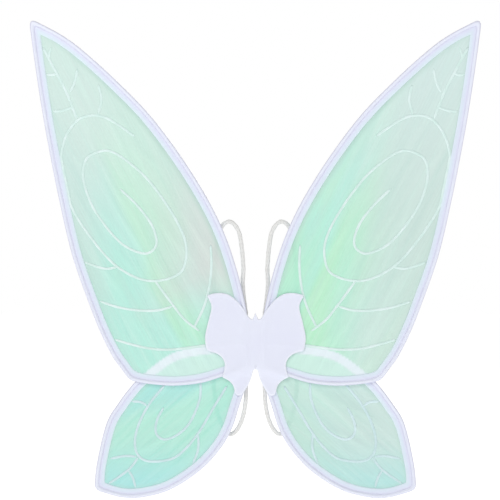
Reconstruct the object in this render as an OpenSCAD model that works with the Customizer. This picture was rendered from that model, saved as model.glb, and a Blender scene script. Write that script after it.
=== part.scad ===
// Costume fairy wings: two pairs of wire-framed film wings on a soft butterfly-shaped centre patch,
// with a back pad and two elastic shoulder loops. They stand upright as worn: +Z is up, the wearer
// is on the +Y side, and the origin is the middle of the back pad's outer face.

/* [Binding] */
// Width of the folded cloth binding round each wing
binding_w = 14; // [12:1:16]
// Width of the wire casing along the binding's outer edge
casing_w = 5.4; // [5.2:0.2:6]
// Thickness of a wing through its casing
wing_t = 4.4; // [4.4:0.1:5]
// Thickness of one layer of binding cloth
skin_t = 0.5; // [0.4:0.05:0.5]

/* [Frame] */
// Diameter of the steel frame wire
wire_d = 2.6; // [2:0.1:2.6]
// Length of the crimp sleeve that closes each wire loop
ferrule_l = 14; // [10:1:18]

/* [Film] */
// Thickness of the film
film_t = 0.3; // [0.2:0.05:0.4]
// Width of a raised vein line
vein_w = 3; // [2:0.25:3.5]
// Height of a vein line above the film
vein_t = 0.5; // [0.3:0.1:0.6]

/* [Centre patch] */
// Distance from the middle to each fold line
fold_x = 8; // [8:0.5:9]
// Thickness of the patch cloth
cloth_t = 0.8; // [0.6:0.1:1]

/* [Back pad] */
// Width of the back pad
pad_w = 60; // [56:1:64]
// Height of the pad's top edge above the origin
pad_top = 35; // [34:0.5:36]
// Depth of the pad's bottom edge below the origin
pad_bottom = 36; // [34:0.5:37]
// Thickness of the pad
pad_t = 5; // [4.8:0.1:6]
// Radius of the pad's corners
pad_r = 11; // [8:1:11]
// Thickness of the pad's cloth cover
pad_skin = 0.8; // [0.6:0.1:1]

/* [Shoulder loops] */
// Width of the elastic
elastic_w = 6.5; // [5:0.5:6.5]
// Length of elastic sewn inside the pad at each end
end_l = 18; // [15:1:20]
// Thickness of the elastic where it is sewn flat
end_t = 2.4; // [1.5:0.1:2.6]
// Length of a bar tack
tack_w = 5; // [4:0.5:6]
// Width of a bar tack
tack_h = 2; // [1.5:0.5:2.5]
// Distance of a bar tack from the pad's edge
tack_in = 8; // [6:1:10]

/* [Hidden] */

LEFT = -1;
RIGHT = 1;
steps = 4;                    // curve steps between two points of an outline
vein_steps = 5;               // curve steps between two points of a vein
round_fn = 48;                // sides of the round parts
fit = 0.05;                   // gap between layers of one wing
clear = 0.3;                  // gap between pieces that move apart
layer_gap = 0.1;              // gap between stacked layers of one side
fold_gap = 0.65;              // half the slit in the cloth along a fold line
dimple_t = 0.6;               // depth of the dimple that each bar tack draws in the pad
dimple_edge = 0.5;            // margin of the dimple round its tack
tack_t = 0.4;                 // thickness of a bar tack
tack_at = [172, -50];         // middle of the tack at the upper wing's lower corner
tack_len = 8;                 // length of that tack

// Depth of each layer, as the Y of its face nearest the wearer
pad_y = 0;
side_back_patch_y = pad_y - pad_t - clear;
lower_wing_y = side_back_patch_y - cloth_t - layer_gap;
upper_wing_y = lower_wing_y - wing_t - layer_gap;
front_patch_y = upper_wing_y - wing_t - layer_gap;
centre_back_patch_y = pad_y - pad_t;

wire_inset = casing_w / 2;
film_inset = casing_w + fit;
flange_t = skin_t - fit;

// Outlines are lists of edges, each a curve through its points, run anticlockwise as seen from -Y.
// Upper wing: lower edge, outer edge to the tip, inner edge down to the root, root side
UPPER = [
    [[10, -35], [51, -48], [82, -57], [120, -61], [155, -59], [188, -54]],
    [[188, -54], [201, -36], [215, -16], [233, 20], [250, 63], [275, 135], [295, 220], [312, 306],
     [323, 370], [332, 430], [340, 491]],
    [[340, 491], [289, 464], [252, 436], [204, 392], [156, 342], [109, 279], [70, 216], [44, 161], [26, 106],
     [15, 60], [10, 30]],
    [[10, 30], [10, -35]]
];
// Lower wing: inner edge, outer edge and the top edge behind the upper wing, root side
LOWER = [
    [[10, -50], [24, -91], [35, -125], [52, -155], [80, -186], [119, -213], [154, -226], [195, -230],
     [242, -218]],
    [[242, -218], [238, -178], [224, -119], [206, -88], [182, -57], [150, -28], [118, -9], [70, 0], [10, 6]],
    [[10, 6], [10, -50]]
];
// Right half of the butterfly patch, from the bottom notch round to the peak at the top: the notch's
// side, lower lobe, waist, outer side, top lobe, peak
PATCH = [
    [[0, -36], [3.5, -39], [5.5, -47], [9, -56.5], [13, -64], [18, -72]],
    [[18, -72], [23, -76], [28.5, -75], [31, -71], [32, -65], [34.5, -59.5], [39, -54.5], [44.5, -51],
     [50, -48]],
    [[50, -48], [46.5, -36], [47, -24], [56, -14], [73, -8]],
    [[73, -8], [75.5, 12], [70.5, 36], [66, 58], [73, 74.5]],
    [[73, 74.5], [62, 77.5], [50, 78], [40, 75.5], [30.5, 69], [22, 60], [15, 50.5], [9.5, 41.5], [5, 38]],
    [[5, 38], [2.4, 42.5], [0, 48]]
];

// Vein lines of an upper wing, from the spiral outwards
UPPER_VEINS = [
    [[203, 234], [178, 210], [156, 181], [148, 155], [155, 141], [172, 138], [204, 155], [240, 200],
     [257, 243], [256, 274], [242, 287], [219, 291], [190, 274], [157, 243], [121, 191], [104, 150],
     [108, 115], [126, 101], [155, 96], [183, 103], [214, 123], [246, 160], [275, 205], [290, 251],
     [291, 288], [280, 321], [258, 342], [225, 341], [181, 313]],
    [[330, 466], [304, 419], [283, 378], [268, 340]],
    [[323, 408], [308, 405], [297, 407]],
    [[312, 350], [292, 351], [273, 357]],
    [[306, 446], [309, 438], [309, 431]],
    [[278, 379], [271, 395], [267, 414]],
    [[236, 346], [231, 368], [235, 390]],
    [[206, 117], [228, 115], [264, 127]],
    [[151, 97], [123, 59], [106, 38], [84, 21]],
    [[124, 58], [147, 52], [176, 52], [207, 57], [240, 68]],
    [[72, 0], [100, -4], [130, -7], [160, -5], [190, 2], [220, 11]],
    [[67, 150], [66, 119], [69, 88], [77, 58], [92, 26]]
];
// Vein lines of a lower wing
LOWER_VEINS = [
    [[136, -60], [160, -90], [175, -119], [181, -145], [176, -166], [158, -175], [125, -171], [103, -154],
     [84, -130], [65, -98], [43, -62]],
    [[82, -56], [84, -83], [98, -116], [117, -135], [137, -142], [149, -133], [148, -114], [138, -94]],
    [[162, -92], [172, -86], [186, -85]],
    [[178, -168], [196, -167], [218, -171]],
    [[176, -169], [191, -188], [224, -211]],
    [[191, -188], [184, -200], [179, -218]],
    [[86, -133], [86, -157], [95, -181]]
];

// Route of the right shoulder loop's middle line: up from the pad's top edge, over, down behind the
// wings, and back up to the pad's bottom edge
strap_x = 14;
strap_y = -1.7;
strap_gap = 0.2;
STRAP = [
    [14, -1.7, 45], [16, -1.6, 60], [18, -1.5, 77], [19, -1.2, 95], [18, -1, 112], [19, -1, 130],
    [21, -1, 149], [24, -1, 167], [30, -1, 179], [38, -1, 185], [47, -0.5, 182], [54, 0, 171], [58, 1, 154],
    [60, 2, 130], [62, 3, 100], [63, 4, 65], [64, 5, 25], [64, 5, -15], [63, 4, -55], [60, 3, -87],
    [54, 2, -112], [46, 1, -128], [38, 0, -135], [30, -1, -131], [23, -1, -120], [18, -1.2, -105],
    [15, -1.5, -88], [14, -1.7, -70], [14, -1.7, -50]
];
strap_sides = 10;
strap_steps = 2;

function unit(v) = v / norm(v);
function left_of(v) = [-v[1], v[0]];

// Points along an open curve through every point of p, with n steps from each to the next
function curve(p, n) =
    let (last = len(p) - 1)
    concat(
        [for (i = [0:last - 1], k = [0:n - 1])
            let (
                t = k / n,
                b = p[i],
                c = p[i + 1],
                a = i > 0 ? p[i - 1] : 2 * b - c,
                d = i < last - 1 ? p[i + 2] : 2 * c - b
            )
            b + t / 2 * (c - a + t * (2 * a - 5 * b + 4 * c - d + t * (3 * b - a - 3 * c + d)))],
        [p[last]]
    );

// The same edges moved inwards by d, with mitred corners
function inset(edges, d) =
    [for (e = [0:len(edges) - 1])
        let (
            p = edges[e],
            m = len(p) - 1,
            before = edges[(e + len(edges) - 1) % len(edges)],
            after = edges[(e + 1) % len(edges)],
            w = len(before) - 1
        )
        [for (i = [0:m])
            let (
                a = left_of(unit(i > 0 ? p[i] - p[i - 1] : before[w] - before[w - 1])),
                b = left_of(unit(i < m ? p[i + 1] - p[i] : after[1] - after[0]))
            )
            p[i] + d * (a + b) / (1 + a * b)]];

// The edges joined end to end, with each corner between two edges rounded
function join(edges, closed) =
    let (n = len(edges), lines = [for (e = edges) curve(e, steps)])
    [for (e = [0:n - 1])
        let (p = lines[e], m = len(p) - 1, q = lines[(e + 1) % n])
        each concat(
            [for (i = [closed || e > 0 ? 1 : 0 : m - 1]) p[i]],
            closed || e < n - 1
                ? [for (t = [0.25, 0.5, 0.75])
                    (1 - t) * (1 - t) * p[m - 1] + 2 * t * (1 - t) * p[m] + t * t * q[1]]
                : [p[m]]
        )];

// Outline of a band of width w along an open line of points
function ribbon(p, w) =
    let (
        last = len(p) - 1,
        side = [for (i = [0:last]) left_of(unit(p[min(i + 1, last)] - p[max(i - 1, 0)])) * w / 2]
    )
    concat([for (i = [0:last]) p[i] + side[i]], [for (i = [last:-1:0]) p[i] - side[i]]);

// A shape drawn in X and Z, made t thick, with its face nearest the wearer at Y = back
module slab(back, t) {
    translate([0, back, 0]) rotate([90, 0, 0]) linear_extrude(t) children();
}

module on_side(side) {
    if (side == RIGHT) children();
    else mirror([1, 0, 0]) children();
}

module shape(edges, d) {
    polygon(join(inset(edges, d), true));
}

// Band of an outline between two depths inwards of its edge
module band(edges, from, to) {
    difference() {
        shape(edges, from);
        shape(edges, to);
    }
}

// A tube along a line of points, as a closed ring or with flat ends
module tube(p, r, sides, ring) {
    n = len(p);
    rings = [for (i = [0:n - 1])
        let (
            before = p[ring ? (i + n - 1) % n : max(i - 1, 0)],
            after = p[ring ? (i + 1) % n : min(i + 1, n - 1)],
            along = unit(after - before),
            out = unit(cross(along, [0, 1, 0])),
            up = cross(out, along)
        )
        each [for (k = [0:sides - 1]) p[i] + r * (cos(360 * k / sides) * out + sin(360 * k / sides) * up)]];
    walls = [for (i = [0:ring ? n - 1 : n - 2], k = [0:sides - 1])
        let (j = (i + 1) % n, m = (k + 1) % sides)
        [i * sides + k, j * sides + k, j * sides + m, i * sides + m]];
    caps = ring ? [] : [[for (k = [0:sides - 1]) k], [for (k = [sides - 1:-1:0]) (n - 1) * sides + k]];
    polyhedron(rings, concat(walls, caps));
}

module wing_wire(side, edges, back) {
    path = [for (p = join(inset(edges, wire_inset), true)) [p[0], back - wing_t / 2, p[1]]];
    color("silver") on_side(side) tube(path, wire_d / 2, 8, true);
}

// Crimp sleeve on the wire's straight root side
module wing_ferrule(side, edges, back) {
    root = inset(edges, wire_inset)[len(edges) - 1];
    middle = (root[0] + root[1]) / 2;
    color("gray") on_side(side)
        translate([middle[0], back - wing_t / 2, middle[1] - ferrule_l / 2])
            difference() {
                cylinder(h = ferrule_l, d = wire_d + 0.7, $fn = round_fn);
                translate([0, 0, -1]) cylinder(h = ferrule_l + 2, d = wire_d + 2 * fit, $fn = round_fn);
            }
}

module wing_film(side, edges, back) {
    color([0.72, 0.94, 0.86]) on_side(side)
        slab(back - (wing_t - film_t) / 2, film_t) shape(edges, film_inset);
}

// Raised lines on the film's outer face, trimmed to the binding's inner edge
module wing_veins(side, edges, lines, back) {
    color("white") on_side(side)
        slab(back - (wing_t + film_t) / 2, vein_t)
            intersection() {
                union() {
                    for (line = lines) polygon(ribbon(curve(line, vein_steps), vein_w));
                }
                shape(edges, binding_w + fit);
            }
}

// A tubular casing round the wire, and two flat flanges that hold the film's edge between them
module wing_binding(side, edges, back) {
    color([0.9, 0.91, 0.97]) on_side(side) {
        difference() {
            slab(back, wing_t) band(edges, 0, casing_w);
            slab(back - skin_t, wing_t - 2 * skin_t) band(edges, skin_t, casing_w - skin_t);
        }
        slab(back - (wing_t - film_t) / 2 + skin_t, flange_t) band(edges, casing_w - fit, binding_w);
        slab(back - (wing_t + film_t) / 2 - fit, flange_t) band(edges, casing_w - fit, binding_w);
    }
}

// Thread that ties the lower wing's binding to the upper wing's lower corner
module corner_tack(side) {
    color("white") on_side(side)
        translate([tack_at[0], lower_wing_y + fit, tack_at[1]]) rotate([0, 35, 0])
            translate([-tack_len / 2, 0, -1]) cube([tack_len, 0.6, 2]);
}

// The whole butterfly outline
module patch_shape() {
    half = join(PATCH, false);
    polygon(concat(half, [for (i = [len(half) - 2:-1:1]) [-half[i][0], half[i][1]]]));
}

// The part of the patch beyond a fold line
module patch_side(side, back) {
    color([0.91, 0.92, 0.98]) on_side(side)
        slab(back, cloth_t)
            intersection() {
                patch_shape();
                translate([fold_x + fold_gap, -150]) square([150, 300]);
            }
}

// The part of the patch between the two fold lines
module patch_centre(back) {
    half_w = fold_x - fold_gap;
    color([0.91, 0.92, 0.98])
        slab(back, cloth_t)
            intersection() {
                patch_shape();
                translate([-half_w, -150]) square([2 * half_w, 300]);
            }
}

// Firm strip that holds the two cloth faces apart between the fold lines
module centre_core() {
    half_w = fold_x - fold_gap - 0.5;
    front = front_patch_y;
    back = centre_back_patch_y - cloth_t;
    color("whitesmoke") translate([-half_w, front, -34]) cube([2 * half_w, back - front, 68]);
}

module pad_shape(d) {
    r = pad_r;
    w = pad_w / 2 - d;
    top = pad_top - d;
    bottom = pad_bottom - d;
    translate([-w + r, -bottom]) square([2 * (w - r), top + bottom]);
    translate([-w, -bottom + r]) square([2 * w, top + bottom - 2 * r]);
    for (x = [-w + r, w - r], z = [-bottom + r, top - r]) translate([x, z]) circle(r, $fn = round_fn);
}

// Where the flat ends of both straps lie in the pad, grown by g all round
module strap_end(top, g) {
    z = top ? pad_top - end_l : -pad_bottom;
    translate([strap_x - elastic_w / 2 - g, pad_y - (pad_t + end_t) / 2 - g, z - (top ? g : 1)])
        cube([elastic_w + 2 * g, end_t + 2 * g, end_l + g + 1]);
}

module strap_pockets() {
    for (side = [LEFT, RIGHT], top = [true, false]) on_side(side) strap_end(top, fit);
}

module strap_ends(side) {
    color("gainsboro") on_side(side)
        intersection() {
            for (top = [true, false]) strap_end(top, 0);
            translate([0, -50, -pad_bottom]) cube([100, 100, pad_top + pad_bottom]);
        }
}

module back_pad_foam() {
    color("white")
        difference() {
            slab(pad_y - pad_skin - fit, pad_t - 2 * (pad_skin + fit)) pad_shape(pad_skin + fit);
            strap_pockets();
            tack_dimples(pad_skin);
        }
}

module back_pad_cover() {
    color([0.91, 0.92, 0.98])
        difference() {
            slab(pad_y, pad_t) pad_shape(0);
            slab(pad_y - pad_skin, pad_t - 2 * pad_skin) pad_shape(pad_skin);
            strap_pockets();
            tack_dimples(0);
        }
}

// Shallow pockets in the pad's outer face, where stitches draw the cover down on each strap end
module tack_dimples(g) {
    for (side = [LEFT, RIGHT], z = [pad_top - tack_in, tack_in - pad_bottom]) on_side(side)
        translate([strap_x, pad_y - dimple_t - g, z])
            translate([-tack_w / 2 - dimple_edge - g, 0, -tack_h / 2 - dimple_edge - g])
                cube([tack_w + 2 * (dimple_edge + g), dimple_t + g + 1, tack_h + 2 * (dimple_edge + g)]);
}

module strap_bar_tacks() {
    color("white")
        for (side = [LEFT, RIGHT], z = [pad_top - tack_in, tack_in - pad_bottom]) on_side(side)
            translate([strap_x - tack_w / 2, pad_y - dimple_t, z - tack_h / 2])
                cube([tack_w, tack_t, tack_h]);
}

// Free loop of elastic, square to the pad's edge at both ends
module strap(side) {
    top_exit = [strap_x, strap_y, pad_top + strap_gap];
    bottom_exit = [strap_x, strap_y, -pad_bottom - strap_gap];
    route = concat([top_exit], curve(STRAP, strap_steps), [bottom_exit]);
    color("gainsboro") on_side(side) tube(route, elastic_w / 2, strap_sides, false);
}

patch_centre(front_patch_y);  // front_patch_centre
patch_side(LEFT, front_patch_y);  // front_patch_left
patch_side(RIGHT, front_patch_y);  // front_patch_right
patch_centre(centre_back_patch_y);  // back_patch_centre
patch_side(LEFT, side_back_patch_y);  // back_patch_left
patch_side(RIGHT, side_back_patch_y);  // back_patch_right
centre_core();
back_pad_foam();
back_pad_cover();
strap_bar_tacks();
strap_ends(LEFT);  // left_strap_ends
strap_ends(RIGHT);  // right_strap_ends
strap(LEFT);  // left_strap
strap(RIGHT);  // right_strap
wing_wire(LEFT, UPPER, upper_wing_y);  // upper_left_wire
wing_ferrule(LEFT, UPPER, upper_wing_y);  // upper_left_ferrule
wing_film(LEFT, UPPER, upper_wing_y);  // upper_left_film
wing_veins(LEFT, UPPER, UPPER_VEINS, upper_wing_y);  // upper_left_veins
wing_binding(LEFT, UPPER, upper_wing_y);  // upper_left_binding
wing_wire(LEFT, LOWER, lower_wing_y);  // lower_left_wire
wing_ferrule(LEFT, LOWER, lower_wing_y);  // lower_left_ferrule
wing_film(LEFT, LOWER, lower_wing_y);  // lower_left_film
wing_veins(LEFT, LOWER, LOWER_VEINS, lower_wing_y);  // lower_left_veins
wing_binding(LEFT, LOWER, lower_wing_y);  // lower_left_binding
wing_wire(RIGHT, UPPER, upper_wing_y);  // upper_right_wire
wing_ferrule(RIGHT, UPPER, upper_wing_y);  // upper_right_ferrule
wing_film(RIGHT, UPPER, upper_wing_y);  // upper_right_film
wing_veins(RIGHT, UPPER, UPPER_VEINS, upper_wing_y);  // upper_right_veins
wing_binding(RIGHT, UPPER, upper_wing_y);  // upper_right_binding
wing_wire(RIGHT, LOWER, lower_wing_y);  // lower_right_wire
wing_ferrule(RIGHT, LOWER, lower_wing_y);  // lower_right_ferrule
wing_film(RIGHT, LOWER, lower_wing_y);  // lower_right_film
wing_veins(RIGHT, LOWER, LOWER_VEINS, lower_wing_y);  // lower_right_veins
wing_binding(RIGHT, LOWER, lower_wing_y);  // lower_right_binding
corner_tack(LEFT);  // left_corner_tack
corner_tack(RIGHT);  // right_corner_tack
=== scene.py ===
"""The looks of a pair of costume fairy wings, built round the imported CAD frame.

Everything is in metres, with +Z up. The viewer is on the -Y side and the wearer on the +Y side.
The outlines below are in millimetres, as in the CAD model, and MM turns them into metres.
"""

import math

import bmesh
import bpy
import numpy as np
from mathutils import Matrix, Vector, noise
from mathutils.geometry import delaunay_2d_cdt


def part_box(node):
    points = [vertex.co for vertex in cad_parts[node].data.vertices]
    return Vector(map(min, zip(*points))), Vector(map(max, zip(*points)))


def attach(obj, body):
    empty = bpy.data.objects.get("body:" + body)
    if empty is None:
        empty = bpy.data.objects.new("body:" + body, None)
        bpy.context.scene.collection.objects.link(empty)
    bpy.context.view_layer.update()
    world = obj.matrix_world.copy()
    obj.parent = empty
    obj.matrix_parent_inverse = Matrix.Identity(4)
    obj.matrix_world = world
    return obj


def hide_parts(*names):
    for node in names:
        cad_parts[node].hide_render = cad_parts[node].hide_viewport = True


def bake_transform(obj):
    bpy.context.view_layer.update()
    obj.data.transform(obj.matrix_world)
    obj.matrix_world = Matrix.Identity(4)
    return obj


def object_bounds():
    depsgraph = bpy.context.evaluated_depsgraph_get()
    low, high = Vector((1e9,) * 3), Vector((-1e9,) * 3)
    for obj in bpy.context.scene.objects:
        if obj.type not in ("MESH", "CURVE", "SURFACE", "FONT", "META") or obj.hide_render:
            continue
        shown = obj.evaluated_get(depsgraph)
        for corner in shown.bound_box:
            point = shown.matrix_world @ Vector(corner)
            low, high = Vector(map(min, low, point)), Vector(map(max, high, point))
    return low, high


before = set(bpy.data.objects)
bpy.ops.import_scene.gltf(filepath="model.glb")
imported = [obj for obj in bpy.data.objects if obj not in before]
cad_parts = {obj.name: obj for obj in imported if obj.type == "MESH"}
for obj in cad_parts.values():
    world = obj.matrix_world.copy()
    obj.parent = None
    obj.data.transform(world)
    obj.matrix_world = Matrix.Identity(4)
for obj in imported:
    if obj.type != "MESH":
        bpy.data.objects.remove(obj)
cad_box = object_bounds()

MM = 0.001
SIDES = {"right": 1, "left": -1}

# ---- Outlines and lines, in X and Z on the right-hand side -------------------------------------

# Upper wing: lower edge, outer edge to the tip, inner edge down to the root, root side
UPPER = [
    [[10, -35], [51, -48], [82, -57], [120, -61], [155, -59], [188, -54]],
    [[188, -54], [201, -36], [215, -16], [233, 20], [250, 63], [275, 135], [295, 220], [312, 306],
     [323, 370], [332, 430], [340, 491]],
    [[340, 491], [289, 464], [252, 436], [204, 392], [156, 342], [109, 279], [70, 216], [44, 161], [26, 106],
     [15, 60], [10, 30]],
    [[10, 30], [10, -35]],
]
# Lower wing: inner edge, outer edge and the top edge behind the upper wing, root side
LOWER = [
    [[10, -50], [24, -91], [35, -125], [52, -155], [80, -186], [119, -213], [154, -226], [195, -230],
     [242, -218]],
    [[242, -218], [238, -178], [224, -119], [206, -88], [182, -57], [150, -28], [118, -9], [70, 0], [10, 6]],
    [[10, 6], [10, -50]],
]
# Right half of the butterfly patch, from the bottom notch round to the peak at the top
PATCH = [
    [[0, -36], [3.5, -39], [5.5, -47], [9, -56.5], [13, -64], [18, -72]],
    [[18, -72], [23, -76], [28.5, -75], [31, -71], [32, -65], [34.5, -59.5], [39, -54.5], [44.5, -51],
     [50, -48]],
    [[50, -48], [46.5, -36], [47, -24], [56, -14], [73, -8]],
    [[73, -8], [75.5, 12], [70.5, 36], [66, 58], [73, 74.5]],
    [[73, 74.5], [62, 77.5], [50, 78], [40, 75.5], [30.5, 69], [22, 60], [15, 50.5], [9.5, 41.5], [5, 38]],
    [[5, 38], [2.4, 42.5], [0, 48]],
]
# Vein lines of an upper wing, from the spiral outwards
UPPER_VEINS = [
    [[203, 234], [178, 210], [156, 181], [148, 155], [155, 141], [172, 138], [204, 155], [240, 200],
     [257, 243], [256, 274], [242, 287], [219, 291], [190, 274], [157, 243], [121, 191], [104, 150],
     [108, 115], [126, 101], [155, 96], [183, 103], [214, 123], [246, 160], [275, 205], [290, 251],
     [291, 288], [280, 321], [258, 342], [225, 341], [181, 313]],
    [[330, 466], [304, 419], [283, 378], [268, 340]],
    [[323, 408], [308, 405], [297, 407]],
    [[312, 350], [292, 351], [273, 357]],
    [[306, 446], [309, 438], [309, 431]],
    [[278, 379], [271, 395], [267, 414]],
    [[236, 346], [231, 368], [235, 390]],
    [[206, 117], [228, 115], [264, 127]],
    [[151, 97], [123, 59], [106, 38], [84, 21]],
    [[124, 58], [147, 52], [176, 52], [207, 57], [240, 68]],
    [[72, 0], [100, -4], [130, -7], [160, -5], [190, 2], [220, 11]],
    [[67, 150], [66, 119], [69, 88], [77, 58], [92, 26]],
]
# Vein lines of a lower wing
LOWER_VEINS = [
    [[136, -60], [160, -90], [175, -119], [181, -145], [176, -166], [158, -175], [125, -171], [103, -154],
     [84, -130], [65, -98], [43, -62]],
    [[82, -56], [84, -83], [98, -116], [117, -135], [137, -142], [149, -133], [148, -114], [138, -94]],
    [[162, -92], [172, -86], [186, -85]],
    [[178, -168], [196, -167], [218, -171]],
    [[176, -169], [191, -188], [224, -211]],
    [[191, -188], [184, -200], [179, -218]],
    [[86, -133], [86, -157], [95, -181]],
]
# Route of the right shoulder loop's middle line, X, Y and Z
STRAP = [
    [14, -1.7, 35.2], [14, -1.7, 45], [16, -1.6, 60], [18, -1.5, 77], [19, -1.2, 95], [18, -1, 112],
    [19, -1, 130], [21, -1, 149], [24, -1, 167], [30, -1, 179], [38, -1, 185], [47, -0.5, 182], [54, 0, 171],
    [58, 1, 154], [60, 2, 130], [62, 3, 100], [63, 4, 65], [64, 5, 25], [64, 5, -15], [63, 4, -55],
    [60, 3, -87], [54, 2, -112], [46, 1, -128], [38, 0, -135], [30, -1, -131], [23, -1, -120],
    [18, -1.2, -105], [15, -1.5, -88], [14, -1.7, -70], [14, -1.7, -50], [14, -1.7, -36.2],
]

# ---- Driving dimensions, in millimetres --------------------------------------------------------

CASING_W = 5.4      # width of the tubular casing round the wire
BINDING_W = 14.0    # width of the whole binding
WING_T = 4.4        # thickness of the casing
RIBBON_T = 0.45     # thickness of the binding's ribbon
SLIT = 0.17         # half the gap between the two flanges, where the film goes in
FLANGE_Y = 0.62     # from the wing's middle to the flange's outer face
FILM_INSET = 6.5    # where the film's edge lies inside the binding
FILM_CELL = 3.2     # mesh spacing of the film
VEIN_W = 3.8        # width of a vein
VEIN_H = 0.5        # height of a vein's crown
VEIN_LIFT = 0.2     # how far a vein's edges stand off the film's middle on either face
CLOTH_T = 0.8       # thickness of the patch cloth
CLOTH_CELL = 1.7    # mesh spacing of the patch cloth
STRAP_D = 6.5       # width of the elastic
PAD_MARGIN = 0.4    # from the sides of the CAD pad to the sides of the cover
PAD_CORNER = 11.0   # radius of the pad's corners
PAD_CELL = 1.5      # mesh spacing of the pad
PAD_FOOT = 0.9      # from the pad's inner face to the foot of its crown
FOAM_MARGIN = 0.9   # how far the foam stays inside the cover
TACK_SETBACK = 8.0  # from the pad's upper and lower sides to its bar tacks

FILM_ALPHA = 0.93   # how much the film covers what is behind it
# Hues of each film, as they look against white: green, aqua and grey zones, and the tip
FILM_HUES = {
    ("upper", "right"): [(190, 239, 209), (184, 238, 224), (207, 227, 222), (216, 235, 234)],
    ("upper", "left"): [(188, 239, 210), (185, 236, 225), (214, 221, 219), (216, 235, 232)],
    ("lower", "right"): [(190, 232, 217), (182, 228, 222), (202, 224, 221), (182, 226, 226)],
    ("lower", "left"): [(178, 231, 216), (172, 228, 224), (190, 224, 218), (170, 226, 227)],
}


def middle_y(front, back):
    """Depth halfway from the front of one CAD node to the back of another, in millimetres."""
    return (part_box(front)[0].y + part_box(back)[1].y) / 2 / MM


# Depth of each wing's middle plane, from the CAD film
MID_Y = {wing: middle_y(f"{wing}_right_film", f"{wing}_right_film") for wing in ("upper", "lower")}
WINGS = {"upper": (UPPER, UPPER_VEINS), "lower": (LOWER, LOWER_VEINS)}


# ---- Curves and outlines -----------------------------------------------------------------------

def curve(points, n):
    """Points along an open curve through every point, with n steps from each to the next."""
    p = np.array(points, float)
    ends = np.vstack([2 * p[0] - p[1], p, 2 * p[-1] - p[-2]])
    t = (np.arange(n) / n)[:, None]
    made = [b + t / 2 * (c - a + t * (2 * a - 5 * b + 4 * c - d + t * (3 * b - a - 3 * c + d)))
            for a, b, c, d in zip(ends, ends[1:], ends[2:], ends[3:])]
    return np.vstack(made + [p[-1:]])


def closed_curve(points, n):
    """The same round a closed loop, without its last point."""
    p = np.vstack([points[-2:], points, points[:2]])
    return curve(p, n)[2 * n:-2 * n - 1]


def unit(v):
    return v / np.linalg.norm(v)


def left_of(v):
    return np.array([-v[1], v[0]])


def run_along(line):
    """How far each point of a line lies from its start, measured along the line."""
    return np.r_[0, np.cumsum(np.linalg.norm(np.diff(line, axis=0), axis=1))]


def directions(line):
    """The line's direction at each of its points."""
    ahead = np.gradient(line, axis=0)
    return ahead / np.linalg.norm(ahead, axis=1)[:, None]


def inset(edges, d):
    """The same edges moved inwards by d, with mitred corners."""
    made = []
    for e, edge in enumerate(edges):
        p, before, after = (np.array(x, float) for x in (edge, edges[e - 1], edges[(e + 1) % len(edges)]))
        steps = np.vstack([before[-1] - before[-2], np.diff(p, axis=0), after[1] - after[0]])
        sides = [left_of(unit(s)) for s in steps]
        made.append([q + d * (a + b) / (1 + a @ b) for q, a, b in zip(p, sides, sides[1:])])
    return made


def join(edges, closed=True, reach=None, sharp=None, steps=4):
    """The edges joined end to end. Each corner is rounded over reach samples of both edges, and drawn
    back towards a sharp one by its share in sharp."""
    lines = [curve(e, steps) for e in edges]
    reach, sharp = reach or [1] * len(lines), sharp or [0.0] * len(lines)
    made = []
    for e, p in enumerate(lines):
        q, k = lines[(e + 1) % len(lines)], reach[e]
        made.append(p[reach[e - 1] if closed or e else 0:-k])
        if closed or e < len(lines) - 1:
            t = np.linspace(0, 1, 2 * k + 3)[1:-1, None]
            round_corner = (1 - t) ** 2 * p[-1 - k] + 2 * t * (1 - t) * p[-1] + t * t * q[k]
            true_corner = p[-1] + np.abs(1 - 2 * t) * (np.where(t < 0.5, p[-1 - k], q[k]) - p[-1])
            made.append(round_corner + sharp[e] * (true_corner - round_corner))
        else:
            made.append(p[-1:])
    return np.vstack(made)


def outline(wing, d, fine=4):
    """The wing's closed outline at a depth d inwards of its edge. Its tip grows sharper inwards."""
    inner = min(d / BINDING_W, 1.0)
    reach, sharp = {"upper": ([2, 1, 1, 1], [0.3 - 0.3 * inner, 0.85 * inner, 0, 0]),
                    "lower": ([1, 1, 1], [0.5 * inner, 0, 0])}[wing]
    return closed_curve(join(inset(WINGS[wing][0], d), True, reach, sharp), fine)


def depth_in(points, loop):
    """How far each point lies inside a closed loop, negative outside it."""
    a, b = loop, np.roll(loop, -1, axis=0)
    nearest, inside = np.full(len(points), 1e9), np.zeros(len(points), bool)
    x, z = points[:, 0], points[:, 1]
    for (ax, az), (bx, bz) in zip(a, b):
        dx, dz = bx - ax, bz - az
        t = np.clip(((x - ax) * dx + (z - az) * dz) / max(dx * dx + dz * dz, 1e-9), 0, 1)
        nearest = np.minimum(nearest, np.hypot(x - ax - t * dx, z - az - t * dz))
        if az != bz:
            inside ^= ((az > z) != (bz > z)) & (x < ax + (z - az) * dx / dz)
    return np.where(inside, nearest, -nearest)


def smooth(x, low, high):
    """0 below low, 1 above high, and a smooth step between them."""
    t = np.clip((np.asarray(x, float) - low) / (high - low), 0, 1)
    return t * t * (3 - 2 * t)


def rough(points, scales, seed):
    """Smooth noise from -1 to 1 at each point, with its own scale along each axis."""
    return np.array([noise.noise(Vector((p[0] * scales[0], p[1] * scales[1], seed))) for p in points])


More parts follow.
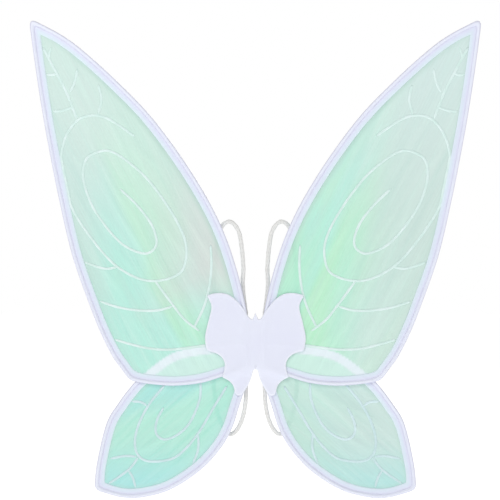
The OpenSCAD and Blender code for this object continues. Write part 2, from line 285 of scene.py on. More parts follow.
def filled(loop, cell):
    """Triangles that fill a closed loop of points, at about one spacing all over."""
    low, high = loop.min(0), loop.max(0)
    triangle_height = 0.866
    rows = np.arange(low[1], high[1], cell * triangle_height)
    grid = np.array([[x + cell / 2 * (i % 2), z]
                     for i, z in enumerate(rows) for x in np.arange(low[0], high[0], cell)])
    grid = grid[depth_in(grid, loop) > 0.6 * cell]
    points = [Vector(p) for p in np.vstack([loop, grid])]
    edges = [(i, (i + 1) % len(loop)) for i in range(len(loop))]
    flat, _, faces, *_ = delaunay_2d_cdt(points, edges, [], 1, 1e-5)
    return np.array([tuple(p) for p in flat]), [tuple(f) for f in faces]


# ---- Meshes ------------------------------------------------------------------------------------

def new_mesh(name, points, faces, closed=True, values=None):
    """A smooth mesh object from points in millimetres, with a number at each point for each of values."""
    mesh = bpy.data.meshes.new(name)
    mesh.from_pydata((np.asarray(points) * MM).tolist(), [], [tuple(map(int, f)) for f in faces])
    for key, numbers in (values or {}).items():
        mesh.attributes.new(key, "FLOAT", "POINT").data.foreach_set("value", np.asarray(numbers, np.float32))
    made = bmesh.new()
    made.from_mesh(mesh)
    if closed:
        bmesh.ops.recalc_face_normals(made, faces=made.faces)
    elif sum(f.normal.y for f in made.faces) > 0:
        bmesh.ops.reverse_faces(made, faces=made.faces)
    made.to_mesh(mesh)
    made.free()
    mesh.shade_smooth()
    piece = bpy.data.objects.new(name, mesh)
    bpy.context.scene.collection.objects.link(piece)
    return piece


def across(points, side):
    """The points on that side of the object."""
    made = np.array(points, float)
    made[:, 0] *= SIDES[side]
    return made


def at_depth(flat, y):
    """Points in X and Z with their depths put in between as Y."""
    return np.column_stack([flat[:, 0], y, flat[:, 1]])


def shell(flat, faces, front, back):
    """Points and faces of a closed form: one sheet at each of two depths, with walls round the border."""
    n = len(flat)
    uses = dict.fromkeys((a, b) for f in faces for a, b in zip(f, f[1:] + f[:1]))
    walls = [(a, b, b + n, a + n) for a, b in uses if (b, a) not in uses]
    points = np.vstack([at_depth(flat, front), at_depth(flat, back)])
    return points, faces + [tuple(i + n for i in f) for f in faces] + walls


def ring_faces(rings, sides, ring_closed):
    """Faces between neighbouring rings of points, and caps at the ends of an open line of rings."""
    last = rings if ring_closed else rings - 1
    faces = [(i * sides + k, (i + 1) % rings * sides + k, (i + 1) % rings * sides + (k + 1) % sides,
              i * sides + (k + 1) % sides) for i in range(last) for k in range(sides)]
    if not ring_closed:
        faces += [tuple(range(sides)), tuple(range((rings - 1) * sides, rings * sides))]
    return faces


def finish_piece(piece, look, slot, *nodes):
    """Gives a new piece its material, and hides the CAD nodes that it stands for. Its slot is not used."""
    piece.data.materials.append(look)
    if nodes:
        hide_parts(*nodes)
    return piece


# ---- Materials ---------------------------------------------------------------------------------

def linear(*srgb):
    """A colour given as it looks on screen, from 0 to 255."""
    return [((c / 255 + 0.055) / 1.055) ** 2.4 for c in srgb]


class Look:
    """A Principled material, and short ways to add nodes to it."""

    def __init__(self, name, **values):
        self.material = bpy.data.materials.new(name)
        self.material.use_nodes = True
        self.tree = self.material.node_tree
        self.shader = self.tree.nodes["Principled BSDF"]
        for key, value in values.items():
            self.shader.inputs[key.replace("_", " ")].default_value = value
        self.place = self.node("TexCoord").outputs["Object"]

    def node(self, kind, feeds=(), **settings):
        made = self.tree.nodes.new("ShaderNode" + kind)
        for key, value in settings.items():
            setattr(made, key, value)
        for key, value in dict(feeds).items():
            self.feed(made.inputs[key], value)
        return made

    def feed(self, socket, value):
        if isinstance(value, bpy.types.NodeSocket):
            self.tree.links.new(value, socket)
        elif isinstance(value, (list, tuple)) and len(socket.default_value) == 4:
            socket.default_value = [*value, 1][:4]
        else:
            socket.default_value = value

    def set(self, key, value):
        self.feed(self.shader.inputs[key], value)

    def value(self, attribute):
        return self.node("Attribute", attribute_name=attribute).outputs["Fac"]

    def math(self, operation, a, b=0.0, c=0.0, clamp=False):
        return self.node("Math", {0: a, 1: b, 2: c}, operation=operation, use_clamp=clamp).outputs[0]

    def steps(self, value, low, high):
        return self.node("MapRange", {"Value": value, "From Min": low, "From Max": high},
                         interpolation_type="SMOOTHSTEP").outputs["Result"]

    def noise(self, scale, detail=2.0, vector=None, distortion=0.0):
        feeds = {"Vector": vector or self.place, "Scale": scale, "Detail": detail, "Distortion": distortion}
        return self.node("TexNoise", feeds).outputs["Fac"]

    def mix(self, share, a, b):
        made = self.node("Mix", data_type="RGBA")
        for index, value in ((0, share), (6, a), (7, b)):
            self.feed(made.inputs[index], value)
        return made.outputs[2]

    def ramp(self, share, *stops):
        made = self.node("ValToRGB", {"Fac": share})
        band = made.color_ramp
        while len(band.elements) < len(stops):
            band.elements.new(1.0)
        for element, (at, colour) in zip(band.elements, stops):
            element.position = at
            element.color = [*colour, 1]
        return made.outputs["Color"]

    def along(self, direction, length_scale, width_scale, seed):
        """Coordinates that stretch a texture along a direction in the plane of the wings."""
        a, b = math.cos(direction), math.sin(direction)
        dots = [self.node("VectorMath", {0: self.place, 1: v}, operation="DOT_PRODUCT").outputs["Value"]
                for v in ((a * length_scale, 0, b * length_scale), (-b * width_scale, 0, a * width_scale))]
        return self.node("CombineXYZ", {"X": dots[0], "Y": dots[1], "Z": seed}).outputs[0]

    def bump(self, height, strength, distance):
        feeds = {"Height": height, "Strength": strength, "Distance": distance}
        self.set("Normal", self.node("Bump", feeds).outputs["Normal"])
        return self.material


def seen(*srgb):
    """The film's own colour that looks like this one against white, through its own see-through share."""
    return [max(0.0, (c - (1 - FILM_ALPHA)) / FILM_ALPHA) for c in linear(*srgb)]


def film_look(wing, side):
    """Thin iridescent film: broad bands of hue, lengthwise crinkles with painted highlights and painted shade
    along them, painted shade beside the binding, and a paler double layer painted as extra reflection.
    """
    look = Look(f"{wing}_{side}_film_look", Roughness=0.24, IOR=1.5, Thin_Film_Thickness=420.0,
                Thin_Film_IOR=1.6)
    direction = math.radians({"upper": 63, "lower": -42}[wing])
    direction = direction if side == "right" else math.pi - direction
    seed = {"upper": 2.0, "lower": 7.0}[wing] + SIDES[side]
    broad = look.noise(1.0, 2.0, look.along(direction, 2.2, 9.0, seed), 0.5)
    streak = look.noise(1.0, 4.0, look.along(direction, 3.5, 42.0, seed + 3), 0.8)
    crinkle = look.noise(1.0, 5.0, look.along(direction, 7.0, 150.0, seed + 5), 1.2)
    green, aqua, grey, tip = FILM_HUES[wing, side]
    hue = look.mix(look.steps(broad, 0.42, 0.6), seen(*green), seen(*aqua))
    hue = look.mix(look.value("tinted"), seen(*grey), hue)
    hue = look.mix(look.value("far"), hue, seen(*tip))
    # Painted highlights and painted shade along the lengthwise streaks, standing in for light on the crinkles
    light, dark = {"upper": (0.3, 0.2), "lower": (0.18, 0.12)}[wing]
    hue = look.mix(look.math("MULTIPLY", look.steps(streak, 0.48, 0.78), light), hue, seen(218, 247, 238))
    hue = look.mix(look.math("MULTIPLY", look.steps(streak, 0.5, 0.3), dark), hue, seen(190, 222, 216))
    # Painted shade on the film next to the binding
    hue = look.mix(look.value("edge"), hue, seen(184, 212, 204))
    # Paler where two films overlap: painted reflection from the second layer
    hue = look.mix(look.value("double"), hue, linear(213, 240, 235))
    hue = look.mix(look.value("band"), hue, linear(232, 242, 250))
    look.set("Base Color", hue)
    clear = look.math("MULTIPLY_ADD", look.steps(crinkle, 0.35, 0.7), 0.08, FILM_ALPHA - 0.04)
    cloudy = look.math("MAXIMUM", look.value("band"), look.value("double"))
    cover = look.math("MULTIPLY_ADD", cloudy, 0.1, clear, clamp=True)
    lamp_ray = look.node("LightPath").outputs["Is Shadow Ray"]
    look.set("Alpha", look.math("MULTIPLY", cover, look.math("MULTIPLY_ADD", lamp_ray, -0.7, 1.0)))
    height = look.math("ADD", streak, look.math("MULTIPLY", crinkle, 0.5))
    return look.bump(height, 0.3, 0.002)


def satin_look():
    """Satin ribbon: a shaded outer edge, a pale casing, a lavender fold and a light blue flange."""
    look = Look("satin_look", Sheen_Weight=0.25, Sheen_Roughness=0.4)
    bands = look.ramp(
        look.math("DIVIDE", look.value("inset"), 16.0),
        (0.0, linear(210, 209, 227)), (0.07, linear(226, 228, 243)), (0.18, linear(233, 237, 249)),
        (0.3, linear(228, 231, 246)), (0.37, linear(213, 216, 237)), (0.45, linear(225, 229, 247)),
        (0.6, linear(221, 231, 246)), (0.84, linear(221, 238, 245)))
    cloud = look.noise(38.0, 3.0)
    colour = look.mix(look.math("MULTIPLY", look.steps(cloud, 0.35, 0.7), 0.35), bands, linear(223, 225, 245))
    look.set("Base Color", colour)
    ribs = look.noise(1.0, 1.0, look.along(math.radians(20), 2600.0, 900.0, 1.0))
    puckers = look.noise(160.0, 3.0)
    look.set("Roughness", look.math("MULTIPLY_ADD", puckers, 0.2, 0.33))
    return look.bump(look.math("ADD", puckers, look.math("MULTIPLY", ribs, 0.15)), 0.3, 0.0006)


def weave(look, pitch, strength, depth):
    """Gives the look the bump of a plain weave in the plane of the wings, and returns its threads."""
    x, _, z = look.node("SeparateXYZ", {0: look.place}).outputs
    warp = look.math("SINE", look.math("MULTIPLY", x, 2 * math.pi / pitch))
    weft = look.math("SINE", look.math("MULTIPLY", z, 2 * math.pi / pitch))
    threads = look.math("MULTIPLY", warp, weft)
    fibre = look.noise(1500.0, 2.0)
    look.bump(look.math("ADD", threads, fibre), strength, depth)
    return threads


def cloth_look(name, tone, shade, rim_highlight_and_piping):
    """Smooth woven cloth with a faint weave, soft shade in its hollows, and a rim colour: a painted highlight
    on the patch's edge, the piping's own tone on the pad.
    """
    look = Look(name, Roughness=0.7, Sheen_Weight=0.3, Sheen_Roughness=0.5)
    threads = weave(look, 0.0009, 0.25, 0.0002)
    cloud = look.steps(look.noise(26.0, 4.0), 0.35, 0.75)
    colour = look.mix(look.math("MULTIPLY", cloud, 0.5), linear(*tone), linear(*shade))
    colour = look.mix(look.math("MULTIPLY", look.steps(threads, 0.2, 1.0), 0.12), colour, linear(*shade))
    # Painted highlight along the patch's rim; on the pad the same colour is the piping's own tone
    colour = look.mix(look.value("rim_highlight_and_piping"), colour, linear(*rim_highlight_and_piping))
    look.set("Base Color", colour)
    return look.material


def vein_look(wing):
    """Raised milky line of glue-like print on the film."""
    look = Look(f"{wing}_vein_look", Roughness=0.45, Coat_Weight=0.1)
    thin = look.steps(look.noise(60.0, 3.0), 0.35, 0.7)
    tones = {"upper": ((211, 236, 230), (224, 242, 240)), "lower": ((201, 227, 229), (213, 234, 238))}[wing]
    look.set("Base Color", look.mix(thin, linear(*tones[0]), linear(*tones[1])))
    return look.bump(look.noise(300.0, 2.0), 0.12, 0.0003)


def elastic_look():
    """Braided elastic cord: pale grey yarns, with painted shade in the gaps between them."""
    look = Look("elastic_look", Roughness=0.78, Sheen_Weight=0.2)
    ridge = look.value("ridge")
    # Darker where the yarns dip between their crossings: painted shade
    colour = look.ramp(ridge, (0.0, linear(206, 206, 205)), (0.45, linear(226, 226, 224)),
                       (1.0, linear(237, 237, 235)))
    worn = look.steps(look.noise(90.0, 3.0), 0.4, 0.75)
    look.set("Base Color", look.mix(look.math("MULTIPLY", worn, 0.3), colour, linear(222, 220, 216)))
    return look.bump(look.noise(2400.0, 2.0), 0.4, 0.0003)


def thread_look():
    """Twisted sewing thread."""
    look = Look("thread_look", Roughness=0.55, Sheen_Weight=0.2)
    twist = look.noise(1.0, 1.0, look.along(math.radians(35), 500.0, 2400.0, 3.0))
    look.set("Base Color", look.mix(twist, linear(214, 214, 232), linear(238, 238, 248)))
    return look.bump(twist, 0.4, 0.0002)


def metal_look(name, tone, roughness):
    """Drawn steel wire or a crimped sleeve: fine scratches and a dull patch here and there."""
    look = Look(name, Metallic=1.0)
    dull = look.noise(70.0, 4.0)
    scratch = look.noise(1800.0, 2.0)
    look.set("Base Color", look.mix(dull, linear(*tone), [c * 0.7 for c in linear(*tone)]))
    look.set("Roughness", look.math("MULTIPLY_ADD", dull, 0.25, roughness))
    return look.bump(scratch, 0.25, 0.0002)


def foam_look():
    """Open-cell foam, darker in its pores: painted shade."""
    look = Look("foam_look", Roughness=0.95)
    cells = look.node("TexVoronoi", {"Vector": look.place, "Scale": 1400.0}).outputs["Distance"]
    look.set("Base Color", look.mix(cells, linear(214, 212, 204), linear(240, 238, 232)))
    return look.bump(cells, 0.6, 0.0006)


def felt_look():
    """Stiff needled strip that backs the fold in the middle."""
    look = Look("felt_look", Roughness=0.9, Sheen_Weight=0.2)
    fibre = look.noise(1.0, 4.0, look.along(0.4, 900.0, 300.0, 5.0))
    look.set("Base Color", look.mix(fibre, linear(214, 214, 226), linear(236, 236, 244)))
    return look.bump(fibre, 0.5, 0.0005)


# ---- Camera ------------------------------------------------------------------------------------

VIEW_FROM = (-0.0081, -3.0, 0.1425)   # straight in front, level with the middle of the wings
FIELD = 0.75                          # width of the view at the wings

camera_data = bpy.data.cameras.new("camera")
camera = bpy.data.objects.new("camera", camera_data)
bpy.context.scene.collection.objects.link(camera)
bpy.context.scene.camera = camera
camera.location = VIEW_FROM
camera.rotation_euler = (math.radians(90), 0, 0)
camera_data.sensor_width = 36.0
camera_data.lens = camera_data.sensor_width * (-VIEW_FROM[1] + MID_Y["upper"] * MM) / FIELD
camera_data.clip_end = 50.0


# ---- Shoulder loops ----------------------------------------------------------------------------

def strap(side, look):
    """One loop of braided elastic: an oval rope, round at its ends, whose two sets of yarns cross."""
    path = curve(STRAP, 20)
    path = path[np.r_[True, np.linalg.norm(np.diff(path, axis=0), axis=1) > 1e-6]]
    run = run_along(path)
    rings, sides, pitch, yarns = 560, 24, 13.0, 6
    end_r, end_stretch = 2.5, 16
    at = np.linspace(0, run[-1], rings)
    line = np.column_stack([np.interp(at, run, path[:, k]) for k in range(3)])
    ahead = directions(line)
    wide = np.cross(ahead, [0.0, 1.0, 0.0])
    wide /= np.linalg.norm(wide, axis=1)[:, None]
    thick = np.cross(wide, ahead)
    ends = smooth(np.minimum(at, run[-1] - at), 0, end_stretch)
    half_w = end_r + (STRAP_D / 2 - 0.1 - end_r) * ends
    half_t = end_r - 0.35 * ends
    turn = 2 * math.pi * np.arange(sides) / sides
    phase = 2 * math.pi * at[:, None] / pitch
    one = np.cos(yarns * turn[None, :] + phase)
    two = np.cos(yarns * turn[None, :] - phase)
    ridge = np.maximum(one, two)
    swell = 0.14 * ridge * (0.4 + 0.6 * ends[:, None])
    points = (line[:, None, :]
              + ((half_w[:, None] + swell) * np.cos(turn))[:, :, None] * wide[:, None, :]
              + ((half_t[:, None] + swell) * np.sin(turn))[:, :, None] * thick[:, None, :])
    piece = new_mesh(f"{side}_shoulder_loop", across(points.reshape(-1, 3), side),
                     ring_faces(rings, sides, False), values={"ridge": (ridge.ravel() + 1) / 2})
    finish_piece(piece, look, "elastic", f"{side}_strap")
    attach(piece, f"{side}_loop")
    route = across(line, side) * MM


elastic = elastic_look()
for side in SIDES:
    strap(side, elastic)


# ---- Wings -------------------------------------------------------------------------------------

def wing_sway(points, wing):
    """How far the film and its veins stand out of their plane, from the crinkles along the wing."""
    direction = math.radians({"upper": 60, "lower": -42}[wing])
    a, b = math.cos(direction), math.sin(direction)
    turned = np.column_stack([points[:, 0] * a + points[:, 1] * b, points[:, 1] * a - points[:, 0] * b])
    waves = rough(turned, (0.006, 0.03), 1.5)
    ridges = (1 - np.abs(rough(turned, (0.008, 0.055), 4.5))) ** 4
    folds = (1 - np.abs(rough(turned, (0.016, 0.11), 8.5))) ** 4
    free = smooth(depth_in(points, outline(wing, BINDING_W, 1)), 1, 26)
    return (0.75 * waves - 0.75 * ridges - 0.3 * folds + 0.3) * free


def tint(points, wing, side):
    """How green the film looks at each point: the hue drifts to a pinkish grey from zone to zone."""
    x, z = points[:, 0], points[:, 1]
    direction = math.radians({"upper": 68, "lower": -42}[wing])
    width = x * math.sin(direction) - z * math.cos(direction)
    length = x * math.cos(direction) + z * math.sin(direction)
    drift = 22 * rough(np.column_stack([length, width]), (0.006, 0.03), 11.0 + SIDES[side])
    at = x + drift
    if wing == "lower":
        return 1 - 0.1 * smooth(at, 60, 160) if side == "left" else 0.45 * (1 - smooth(at, 60, 200))
    if side == "right":
        return 1 - 0.85 * smooth(at - 0.12 * z, 95, 190) - 0.15 * smooth(at, 190, 260)
    inner = smooth(at + 0.05 * z, 65, 200)
    return np.maximum(inner * (1 - 0.5 * smooth(at, 200, 275)), 1 - smooth(z, 20, 130)) * 0.95


def film(wing, side):
    """The sheet of film, held flat in the binding and crinkled across the open part."""
    flat, faces = filled(outline(wing, FILM_INSET, 3), FILM_CELL)
    depth = depth_in(flat, outline(wing, BINDING_W, 2))
    other = {"upper": "lower", "lower": "upper"}[wing]
    behind = depth_in(flat, outline(other, 0, 1))
    y = MID_Y[wing] + wing_sway(flat, wing)
    if wing == "upper":
        band = smooth(behind, -0.5, 1.5) * (1 - smooth(behind, 12, 15))
        # Paler overlap with the lower wing: painted reflection from the second layer
        double = 0.85 * smooth(behind, 8, 14)
        inner = smooth(flat[:, 0] * 0.83 - flat[:, 1] * 0.56, 40, -50) * smooth(flat[:, 1], 10, 90)
        # Painted shade beside the binding, strongest along the upper wing's inner edge
        edge = 0.65 * (1 - smooth(depth, 0, 9)) * np.maximum(inner, 0.25)
    else:
        # The lower film behind the upper wing is painted a little paler, as the overlap's reflection
        band, double = np.zeros(len(flat)), 0.3 * smooth(behind, 0, 2)
        # Painted shade beside the binding
        edge = 0.3 * (1 - smooth(depth, 0, 7))
    near, away = {"right": (120, 500), "left": (70, 380)}[side]
    far = {"upper": 0.8 * smooth(flat[:, 1], near, away), "lower": smooth(-flat[:, 1], 130, 225)}[wing]
    piece = new_mesh(f"{wing}_{side}_iridescent_film", across(at_depth(flat, y), side), faces, closed=False,
                     values={"band": band, "double": double, "edge": edge, "far": far,
                             "tinted": tint(flat, wing, side)})
    finish_piece(piece, film_look(wing, side), "iridescent_film", f"{wing}_{side}_film")
    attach(piece, f"{side}_wings")


def veins(wing, side, look):
    """Lines that stand off both faces of the film, crowned on the outer one, thinner towards their ends."""
    points, faces = [], []
    loop = outline(wing, BINDING_W, 1)
    for number, line in enumerate(WINGS[wing][1]):
        path = curve(line, 10)
        path = path[depth_in(path, loop) > 0.4]
        run, ahead = run_along(path), directions(path)
        swell = 1 + 0.08 * rough(np.column_stack([run, run]), (0.08, 0.0), 3.0 + number)
        taper = 0.35 + 0.65 * smooth(np.minimum(run, run[-1] - run), 0, 5)
        half = VEIN_W / 2 * swell * taper
        height = VEIN_H * swell * taper
        level = MID_Y[wing] + wing_sway(path, wing)
        shape = [(u, VEIN_LIFT, 1 - u * u) for u in (-1, -0.8, -0.45, 0, 0.45, 0.8, 1)]
        shape += [(u, -VEIN_LIFT, 0.0) for u in (0.85, -0.85)]
        start = len(points)
        for p, a, w, h, y in zip(path, ahead, half, height, level):
            points += [(p[0] - a[1] * w * u, y - lift - h * s, p[1] + a[0] * w * u) for u, lift, s in shape]
        faces += [tuple(start + i for i in f) for f in ring_faces(len(path), len(shape), False)]
    piece = new_mesh(f"{wing}_{side}_vein_lines", across(points, side), faces)
    finish_piece(piece, look, "vein_line", f"{wing}_{side}_veins")
    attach(piece, f"{side}_wings")


def binding_profile():
    """Section of the ribbon folded round the wire, as (inset, depth) points and a mark for its outer face."""
    middle, half_w, half_t = CASING_W / 2, CASING_W / 2, WING_T / 2
    turn = np.radians(np.arange(40, 181, 20))
    casing = [(middle + half_w * math.cos(t), -half_t * math.sin(t)) for t in turn]
    crests = [(BINDING_W, 0), (12, 0.03), (10, 0.05), (8.2, 0.06), (7.0, 0.04), (6.3, -0.06), (5.8, 0.02)]
    flange = [(BINDING_W + 0.12, -0.4)] + [(d, -FLANGE_Y - rise) for d, rise in crests]
    front = flange + casing
    outer = front + [(d, -y) for d, y in reversed(front[:-1])]
    lining = [(middle + (half_w - RIBBON_T) * math.cos(t), -(half_t - RIBBON_T) * math.sin(t)) for t in turn]
    slit = [(BINDING_W - 0.05, -SLIT), (10, -SLIT), (5.6, -SLIT)]
    inner = slit + lining
    inner = inner + [(d, -y) for d, y in reversed(inner[:-1])]
    return outer + inner[::-1], len(outer)


def binding(wing, side, look):
    """The satin ribbon folded round the wire and over the film's edge, with small puckers."""
    profile, outer = binding_profile()
    loops = [outline(wing, d) for d, _ in profile]
    rings, sides = len(loops[0]), len(profile)
    middle = loops[0]
    run = run_along(middle)
    total = run[-1] + np.linalg.norm(middle[0] - middle[-1])
    around = np.column_stack([np.cos(run / total * 2 * math.pi), np.sin(run / total * 2 * math.pi)])
    points = np.zeros((rings, sides, 3))
    for k, ((d, y), loop) in enumerate(zip(profile, loops)):
        pucker = 0.0
        if k < outer and d > CASING_W:
            pucker = 0.22 * rough(around * total / (2 * math.pi), (0.11, 0.11), 6.0 + 0.12 * d)
        elif k < outer:
            pucker = 0.1 * rough(around * total / (2 * math.pi), (0.16, 0.16), 2.0)
        points[:, k, 0], points[:, k, 2] = loop[:, 0], loop[:, 1]
        points[:, k, 1] = MID_Y[wing] + y + np.sign(y) * pucker
    insets = np.tile([d for d, _ in profile], rings)
    piece = new_mesh(f"{wing}_{side}_satin_binding", across(points.reshape(-1, 3), side),
                     ring_faces(rings, sides, True), values={"inset": insets})
    finish_piece(piece, look, "satin_binding", f"{wing}_{side}_binding")
    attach(piece, f"{side}_wings")


def stitch(points, faces, a, b, radius, arch):
    """Adds one short thread from a to b, that rises by arch in its middle and dips at its ends."""
    a, b = np.array(a, float), np.array(b, float)
    ahead = unit(b - a)
    up = np.array([0.0, math.copysign(1.0, arch), 0.0])
    flat = unit(np.cross(ahead, up))
    start, sides = len(points), 6
    for t, scale in ((0.0, 0.45), (0.15, 0.95), (0.5, 1.1), (0.85, 0.95), (1.0, 0.45)):
        middle = a + (b - a) * t + up * (abs(arch) * 4 * t * (1 - t))
        for k in range(sides):
            turn = 2 * math.pi * k / sides
            points.append(middle + radius * scale * (math.cos(turn) * flat + math.sin(turn) * up))
    faces += [tuple(start + i for i in f) for f in ring_faces(5, sides, False)]


def binding_stitches(wing, side, look):
    """The sewn line along the foot of the casing, on both faces."""
    pitch, length, radius, at = 4.0, 2.7, 0.22, 6.3
    loop = outline(wing, at)
    loop = np.vstack([loop, loop[:1]])
    run = run_along(loop)
    count = int(run[-1] // pitch)
    points, faces = [], []
    for i in range(count):
        ends = [np.array([np.interp(s, run, loop[:, 0]), np.interp(s, run, loop[:, 1])])
                for s in (i * run[-1] / count, i * run[-1] / count + length)]
        for face in (-1, 1):
            y = MID_Y[wing] + face * (FLANGE_Y + 0.02)
            a, b = ([p[0], y, p[1]] for p in ends)
            stitch(points, faces, a, b, radius, face * 0.16)
    piece = new_mesh(f"{wing}_{side}_binding_stitches", across(points, side), faces)
    finish_piece(piece, look, "thread")
    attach(piece, f"{side}_wings")


satin, thread = satin_look(), thread_look()
for wing in WINGS:
    vein = vein_look(wing)
    for side in SIDES:
        binding(wing, side, satin)
        binding_stitches(wing, side, thread)
        film(wing, side)
        veins(wing, side, vein)


# ---- Patches -----------------------------------------------------------------------------------

def patch_half(fine):
    """Closed outline of the patch's right half, and how many of its points lie off the middle line."""
    half = curve(join(PATCH, False), fine)
    top, bottom = half[-1], half[0]
    count = int((top[1] - bottom[1]) / CLOTH_CELL)
    middle = [[0, top[1] + (bottom[1] - top[1]) * k / count] for k in range(1, count)]
    return np.vstack([half, middle]), len(half)


def patch(name, side, y_middle, look, outward, *nodes):
    """Half of a cloth butterfly: a closed sheet that rises over the casings below it."""
    loop, free = patch_half(2)
    flat, faces = filled(loop, CLOTH_CELL)
    edge_line = np.vstack([loop[:free], loop[:free][::-1] * [-1, 1]])
    depth = np.maximum(depth_in(flat, edge_line), 0)
    upper, lower = depth_in(flat, outline("upper", 0, 1)), depth_in(flat, outline("lower", 0, 1))
    over = 0.55 * np.exp(-((upper - 2.7) / 3.6) ** 2) + 0.3 * np.exp(-((lower - 2.7) / 3.6) ** 2)
    sunk = 0.45 * smooth(upper, 6, 16) * smooth(depth, 1, 8)
    drop = 4.0 * smooth(-upper, 0, 9) * smooth(-flat[:, 1], 30, 52)
    soft = 0.16 * rough(flat * [SIDES[side], 1], (0.05, 0.05), 2.0)
    rise = outward * ((over - sunk + soft) * smooth(depth, 0, 3) - drop)
    round_off = 1 - np.sqrt(np.clip(1 - (1 - np.clip(depth / 1.6, 0, 1)) ** 2, 0, 1))
    half_t = CLOTH_T / 2 * (1 - 0.9 * round_off)
    # Painted highlight along the patch's edge
    rim_highlight_and_piping = 1 - smooth(depth, 0.6, 3.2)
    points, faces = shell(flat, faces, y_middle + rise - half_t, y_middle + rise + half_t)
    piece = new_mesh(f"{name}_{side}_half", across(points, side), faces, values={"rim_highlight_and_piping": np.tile(rim_highlight_and_piping, 2)})
    mark_seam(piece.data)
    finish_piece(piece, look, "patch_cloth", *nodes)
    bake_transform(piece)


def mark_seam(mesh):
    """Keeps the two halves' shading the same along the middle line, where each has a wall."""
    made = bmesh.new()
    made.from_mesh(mesh)
    for e in made.edges:
        if all(abs(v.co.x) < 1e-6 for v in e.verts) and abs(e.verts[0].co.y - e.verts[1].co.y) < 1e-4:
            e.smooth = False
    made.to_mesh(mesh)
    made.free()


# Cloth tone, painted shade and painted rim highlight of the patches
patch_look = cloth_look("patch_look", (231, 234, 249), (228, 230, 248), (241, 244, 255))
front_y = middle_y("front_patch_centre", "front_patch_centre")
back_y = middle_y("back_patch_right", "back_patch_centre")
for side in SIDES:
    patch("front_patch", side, front_y, patch_look, -1, f"front_patch_{side}", "front_patch_centre")
    patch("back_patch", side, back_y, patch_look, 0, f"back_patch_{side}", "back_patch_centre")


# ---- Back pad ----------------------------------------------------------------------------------

pad_low, pad_high = (np.array(v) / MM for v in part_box("back_pad_cover"))
pad_tall = pad_high[1] - pad_low[1] - 0.2


def pad_outline(margin, radius, spacing):
    """The pad's outline, a rectangle with round corners, at a margin inside its cover."""
    low, high = pad_low[[0, 2]] + PAD_MARGIN + margin, pad_high[[0, 2]] - PAD_MARGIN - margin
    turns = [(high[0] - radius, high[1] - radius, 0), (low[0] + radius, high[1] - radius, 90),
             (low[0] + radius, low[1] + radius, 180), (high[0] - radius, low[1] + radius, 270)]
    corners = np.array([[x + radius * math.cos(t), z + radius * math.sin(t)]
                        for x, z, a in turns for t in np.radians(range(a, a + 91, 9))])
    loop = np.vstack([corners, corners[:1]])
    run = run_along(loop)
    at = np.linspace(0, run[-1], int(run[-1] / spacing), endpoint=False)
    return np.column_stack([np.interp(at, run, loop[:, k]) for k in (0, 1)])


def crown_y(share):
    """Depth of the pad's outer face where its crown has a share of its full rise."""
    return pad_low[1] + PAD_FOOT + (pad_tall - PAD_FOOT) * share


def crowned(name, margin):
    """Closed crowned form of the pad, drawn in by its bar tacks, at a margin inside the cover."""
    loop = pad_outline(margin, PAD_CORNER - margin, PAD_CELL)
    flat, faces = filled(loop, PAD_CELL)
    edge = np.maximum(depth_in(flat, loop), 0)
    depth = edge + margin
    pull = np.zeros(len(flat))
    for x, z in tack_places():
        gap = np.hypot((flat[:, 0] - x) / 1.6, flat[:, 1] - z)
        pull = np.maximum(pull, np.exp(-(gap / 3.0) ** 2))
    wrinkle = 0.2 * rough(flat, (0.09, 0.09), 5.0) + 0.12 * rough(flat, (0.3, 0.3), 9.0)
    crown = (1 - np.exp(-depth / 2.4)) * (0.86 + 0.14 * smooth(depth, 4, 28)) * (1 - 0.34 * pull)
    top = crown_y(crown) + wrinkle * smooth(depth, 0, 5) - margin
    base = pad_low[1] + 0.1 + margin + 0.5 * (1 - smooth(edge, 0, 2.5))
    points, faces = shell(flat, faces, np.maximum(top, base + 0.2), base)
    return new_mesh(name, points, faces, values={"rim_highlight_and_piping": np.zeros(len(points))})


def pad(look, foam, thread):
    """Pad that lies on the wearer's back: a cover over foam, with a piped seam and four bar tacks."""
    piece = finish_piece(crowned("back_pad", 0.0), look, "patch_cloth", "back_pad_cover")
    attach(piece, "back")
    filling = finish_piece(crowned("back_pad_filling", FOAM_MARGIN), foam, "pad_foam", "back_pad_foam")
    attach(filling, "back")

    loop = pad_outline(-0.2, PAD_CORNER, 1.6)
    sides, radius = 8, 0.75
    points = []
    for i, p in enumerate(loop):
        out = unit(left_of(loop[i - 1] - loop[(i + 1) % len(loop)]))
        for k in range(sides):
            turn = 2 * math.pi * k / sides
            q = p + out * radius * math.cos(turn)
            points.append((q[0], pad_low[1] + 0.95 + radius * math.sin(turn), q[1]))
    piping = new_mesh("back_pad_piping", points, ring_faces(len(loop), sides, True),
                      values={"rim_highlight_and_piping": np.ones(len(points))})
    finish_piece(piping, look, "patch_cloth")
    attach(piping, "back")

    points, faces = [], []
    face = crown_y(0.62)
    for x, z in tack_places():
        for k in range(9):
            shift = (k - 4) * 0.62
            lean = 0.3 * (-1) ** k
            stitch(points, faces, (x + shift, face, z - 1.3), (x + shift + lean, face, z + 1.3), 0.3, 0.35)
    tacks = new_mesh("back_pad_bar_tacks", points, faces)
    finish_piece(tacks, thread, "thread", "strap_bar_tacks")
    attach(tacks, "back")


def tack_places():
    """Where the four bar tacks hold the elastic in the pad, in X and Z."""
    return [(x * STRAP[0][0], z) for x in (-1, 1)
            for z in (pad_high[2] - TACK_SETBACK, pad_low[2] + TACK_SETBACK)]


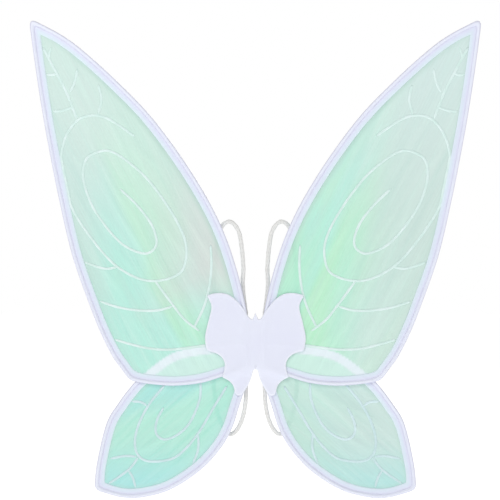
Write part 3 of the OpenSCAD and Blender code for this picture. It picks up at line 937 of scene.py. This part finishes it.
def corner_tack(side, thread):
    """Threads that tie the lower wing's binding to the upper wing's corner."""
    low, high = (np.array(v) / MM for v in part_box("right_corner_tack"))
    middle, length = (low + high) / 2, 7.5
    along = np.array([math.cos(math.radians(35)), 0, -math.sin(math.radians(35))])
    points, faces = [], []
    for k in range(5):
        at, reach = middle + [0, 0, (k - 2) * 0.45], along * length / 2
        stitch(points, faces, at - reach, at + reach, 0.3, 0.15)
    piece = new_mesh(f"{side}_corner_tack_threads", across(points, side), faces)
    finish_piece(piece, thread, "thread", f"{side}_corner_tack")
    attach(piece, f"{side}_wings")


foam = foam_look()
pad(cloth_look("pad_look", (233, 234, 245), (222, 223, 238), (214, 216, 234)), foam, thread)
for side in SIDES:
    corner_tack(side, thread)


# ---- Looks of the CAD pieces that stay ---------------------------------------------------------

kept_looks = {"wire": metal_look("wire_look", (190, 192, 196), 0.25),
              "ferrule": metal_look("crimp_look", (150, 150, 154), 0.35),
              "core": felt_look(), "ends": elastic}
for name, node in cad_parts.items():
    if not node.hide_render:
        kind = name.rsplit("_", 1)[1]
        node.data.materials.clear()
        node.data.materials.append(kept_looks[kind])


# ---- Floor, light and background ---------------------------------------------------------------

def floor():
    """A large pale floor just below the lowest tips."""
    size, level = 9.0, cad_box[0].z - 0.015
    corners = [(-size, -size, level), (size, -size, level), (size, size, level), (-size, size, level)]
    piece = new_mesh("floor", np.array(corners) / MM, [(0, 1, 2, 3)], closed=False)
    look = Look("floor_look", Roughness=0.9, Emission_Strength=0.9)
    look.set("Emission Color", (1.0, 1.0, 1.0, 1.0))
    look.set("Base Color", look.mix(look.noise(3.0, 3.0), (0.28, 0.28, 0.28), (0.31, 0.31, 0.31)))
    piece.data.materials.append(look.material)


def lamp(name, place, size, watts):
    """A square soft light that faces the wings."""
    data = bpy.data.lights.new(name, "AREA")
    data.size, data.energy = size, watts
    made = bpy.data.objects.new(name, data)
    made.location = place
    made.rotation_euler = (Vector((0, 0, 0.1)) - Vector(place)).to_track_quat("-Z", "Y").to_euler()
    bpy.context.scene.collection.objects.link(made)


def background():
    """White where the camera sees it, and a softer fill where it lights the wings."""
    world = bpy.data.worlds.new("studio")
    bpy.context.scene.world = world
    world.use_nodes = True
    tree = world.node_tree
    path, share = tree.nodes.new("ShaderNodeLightPath"), tree.nodes.new("ShaderNodeMapRange")
    share.inputs["To Min"].default_value, share.inputs["To Max"].default_value = 0.35, 1.0
    tree.links.new(path.outputs["Is Camera Ray"], share.inputs["Value"])
    tree.links.new(share.outputs["Result"], tree.nodes["Background"].inputs["Strength"])
    tree.nodes["Background"].inputs["Color"].default_value = (1.0, 1.0, 1.0, 1.0)


floor()
background()
lamp("key", (-1.3, -2.4, 1.9), 1.6, 36.0)
lamp("fill", (1.9, -2.0, 0.5), 1.8, 9.0)
lamp("rear", (1.0, 2.4, 1.6), 1.6, 32.0)
bpy.context.scene.view_settings.view_transform = "Standard"
bpy.context.scene.view_settings.look = "None"
